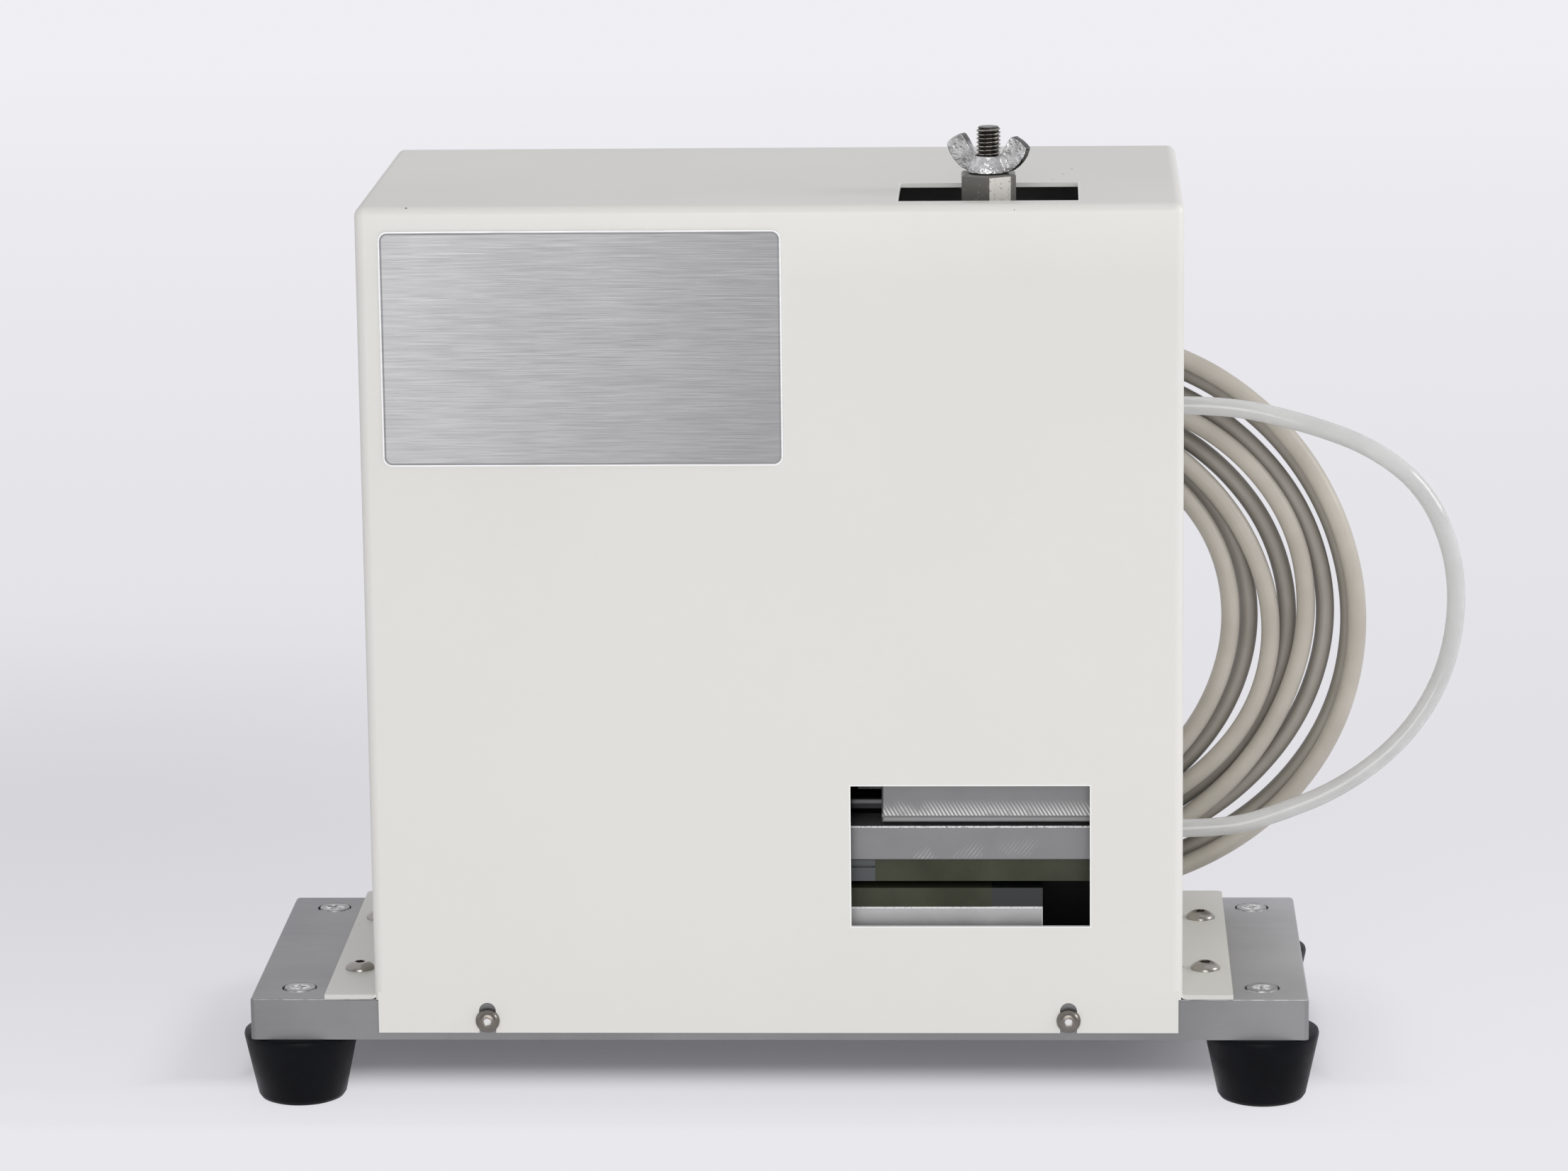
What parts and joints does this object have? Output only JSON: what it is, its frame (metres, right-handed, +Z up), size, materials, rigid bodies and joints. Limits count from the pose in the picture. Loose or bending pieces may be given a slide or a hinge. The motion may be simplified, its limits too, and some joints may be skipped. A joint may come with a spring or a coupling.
{
  "type": "wire straightener",
  "caption": "Bench machine that straightens the wires of a cable: an air cylinder rubs padded platens in opposite directions behind a window in a sheet-metal cover.",
  "frame": {"origin": "on the floor under the feet, at the middle of the machine's box without its hose and cable", "axes": "+X to the right along the machine seen from the window side, +Y to the back, +Z up"},
  "size_m": [0.3992, 0.1984, 0.3151],
  "materials": {
    "cover_paint": "satin off-white powder coat",
    "plate_aluminium": "satin",
    "milled_aluminium": "milled",
    "label_steel": "brushed",
    "stainless_screws": "bright",
    "dark_steel": "black oxide",
    "column_steel": "machined",
    "stud_steel": "bright thread",
    "ground_steel": "ground",
    "gear_steel": "cut",
    "bright_zinc": "bright zinc plated",
    "black_rubber": "matte",
    "olive_pad": "matte",
    "cylinder_metal": "satin",
    "nickel_fittings": "nickel plated",
    "sintered_bronze": "sintered",
    "valve_metal": "satin",
    "black_plastic": "matte",
    "clear_hose": "clear",
    "grey_cable": "satin",
    "clear_plug": "clear",
    "saddle_steel": "zinc plated"
  },
  "bodies": {
    "base": {"base_plate": "plate_aluminium", "rubber_feet": "black_rubber", "foot_screws": "stainless_screws", "foot_washers": "stainless_screws", "foot_nuts": "stainless_screws", "frame_bolts": "stainless_screws", "side_screw": "dark_steel", "cover": "cover_paint", "front_plate": "label_steel", "cover_front_screws": "stainless_screws", "cover_flange_screws": "stainless_screws", "rear_panel": "cover_paint", "rear_screws": "stainless_screws", "lip_screws": "stainless_screws", "frame_plate": "plate_aluminium", "frame_gussets": "plate_aluminium", "upper_rail": "ground_steel", "upper_rail_screws": "stainless_screws", "lower_rail": "ground_steel", "lower_rail_screws": "stainless_screws", "pinion_shaft": "dark_steel", "pinion_spacer": "dark_steel", "cylinder_tube": "cylinder_metal", "cylinder_caps": "cylinder_metal", "cylinder_nut": "cylinder_metal", "cylinder_bracket": "plate_aluminium", "bracket_screws": "stainless_screws", "cylinder_ports": "nickel_fittings", "valve_body": "valve_metal", "valve_coil": "black_plastic", "valve_ports": "nickel_fittings", "cable_gland": "black_plastic", "gland_locknut": "black_plastic", "air_inlet": "nickel_fittings", "inlet_locknut": "nickel_fittings", "exhaust_silencer": "sintered_bronze", "hose_grommets": "black_rubber", "air_hose": "clear_hose", "cable_lead": "grey_cable", "cable_tail": "grey_cable", "cable_coil": "grey_cable", "cable_plug": "clear_plug", "coil_saddle": "saddle_steel", "saddle_screws": "stainless_screws"},
    "upper_carriage": {"upper_carriage": "milled_aluminium", "adjusting_column": "column_steel", "upper_guide_block": "ground_steel", "upper_rack": "gear_steel", "piston_rod": "ground_steel", "pressure_springs": "dark_steel"},
    "upper_platen": {"upper_platen": "milled_aluminium", "upper_pad": "olive_pad", "draw_stud": "stud_steel", "guide_pins": "ground_steel"},
    "wing_nut": {"wing_nut": "bright_zinc"},
    "lower_carriage": {"lower_carriage": "milled_aluminium", "lower_pad": "olive_pad", "lower_guide_block": "ground_steel", "lower_rack": "gear_steel"},
    "pinion": {"pinion": "gear_steel"}
  },
  "joints": [
    {"name": "upper_slide", "type": "slide", "parent": "base", "child": "upper_carriage", "axis": [1, 0, 0], "range_m": [-0.018, 0.018]},
    {"name": "lower_slide", "type": "slide", "parent": "base", "child": "lower_carriage", "axis": [1, 0, 0], "range_m": [-0.018, 0.018]},
    {"name": "pinion_spin", "type": "hinge", "parent": "base", "child": "pinion", "pos_m": [0.0503, -0.0216, 0.0821], "axis": [0, 1, 0], "range_deg": [-129.5, 129.5]},
    {"name": "wing_nut_turn", "type": "hinge", "parent": "upper_carriage", "child": "wing_nut", "pos_m": [0.0688, -0.045, 0.3031], "axis": [0, 0, 1], "range_deg": [-340, 600]},
    {"name": "platen_lift", "type": "slide", "parent": "upper_carriage", "child": "upper_platen", "axis": [0, 0, 1], "range_m": [-0.00208, 0.00118], "deforming": ["pressure_springs"]}
  ],
  "couplings": [
    {"joint": "lower_slide", "follows": "upper_slide", "ratio": -1},
    {"joint": "pinion_spin", "follows": "upper_slide", "rad_per_m": 125},
    {"joint": "wing_nut_turn", "follows": "platen_lift", "rad_per_m": -5026.5}
  ]
}
